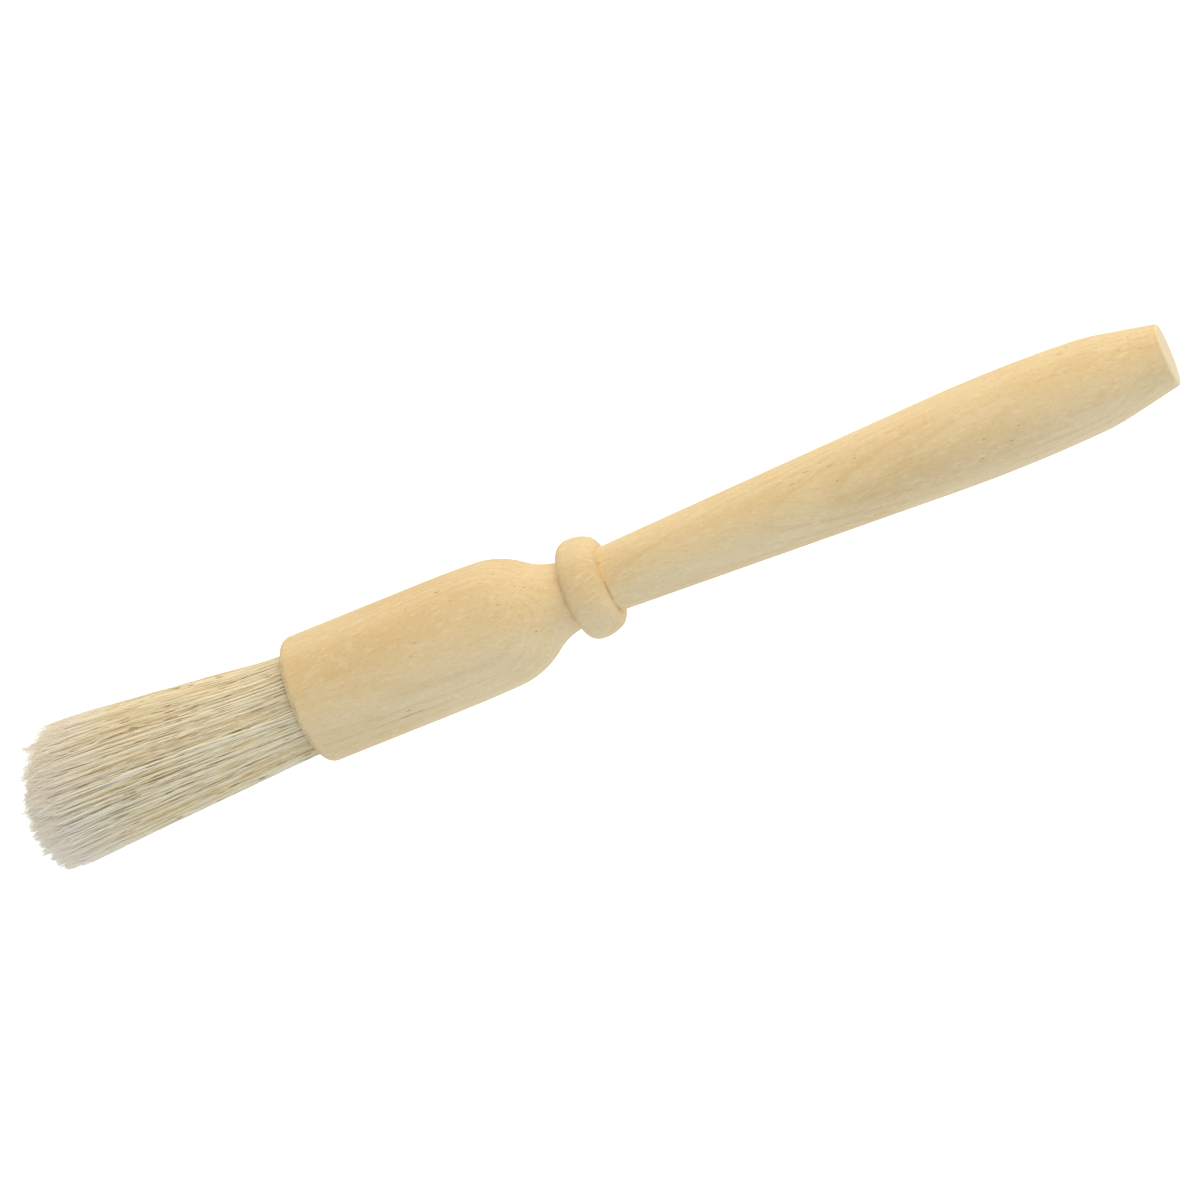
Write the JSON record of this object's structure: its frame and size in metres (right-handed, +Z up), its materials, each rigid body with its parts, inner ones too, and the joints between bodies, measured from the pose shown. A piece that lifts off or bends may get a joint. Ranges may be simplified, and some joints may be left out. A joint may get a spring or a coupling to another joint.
{
  "type": "pastry brush",
  "caption": "Round pastry brush: a turned wooden handle with a ring bead and a barrel head, whose bored socket holds a flared, dome-ended bundle of natural bristles.",
  "frame": {"origin": "centre of the handle's butt end face", "axes": "+X along the handle's axis from the butt to the bristle tips; +Z up with the brush lying level; the outline is round about X, so Y and Z are interchangeable except as the bending axes"},
  "size_m": [0.225, 0.0264, 0.0264],
  "materials": {
    "handle_wood": "satin",
    "resin": "gloss",
    "twine": "matte",
    "bristle": "satin"
  },
  "bodies": {
    "handle": {"handle": "handle_wood", "setting_resin": "resin", "binding_twine": "twine", "bristle_roots": "bristle"},
    "heel": {"bristle_heel": "bristle"},
    "lower_belly": {"bristle_lower_belly": "bristle"},
    "upper_belly": {"bristle_upper_belly": "bristle"},
    "toe": {"bristle_toe": "bristle"}
  },
  "joints": [
    {"name": "heel_bend", "type": "hinge", "parent": "handle", "child": "heel", "pos_m": [0.1745, 0, 0], "axis": [0, 1, 0], "range_deg": [-24, 24], "stiffness_Nm_per_rad": 0.06},
    {"name": "lower_belly_sway", "type": "hinge", "parent": "heel", "child": "lower_belly", "pos_m": [0.1855, 0, 0], "axis": [0, 0, 1], "range_deg": [-22, 22], "stiffness_Nm_per_rad": 0.05},
    {"name": "upper_belly_bend", "type": "hinge", "parent": "lower_belly", "child": "upper_belly", "pos_m": [0.1965, 0, 0], "axis": [0, 1, 0], "range_deg": [-14.4, 14.4], "stiffness_Nm_per_rad": 0.025},
    {"name": "toe_sway", "type": "hinge", "parent": "upper_belly", "child": "toe", "pos_m": [0.2075, 0, 0], "axis": [0, 0, 1], "range_deg": [-11, 11], "stiffness_Nm_per_rad": 0.01}
  ],
  "couplings": [
    {"joint": "upper_belly_bend", "follows": "heel_bend", "ratio": 0.6},
    {"joint": "toe_sway", "follows": "lower_belly_sway", "ratio": 0.5}
  ]
}
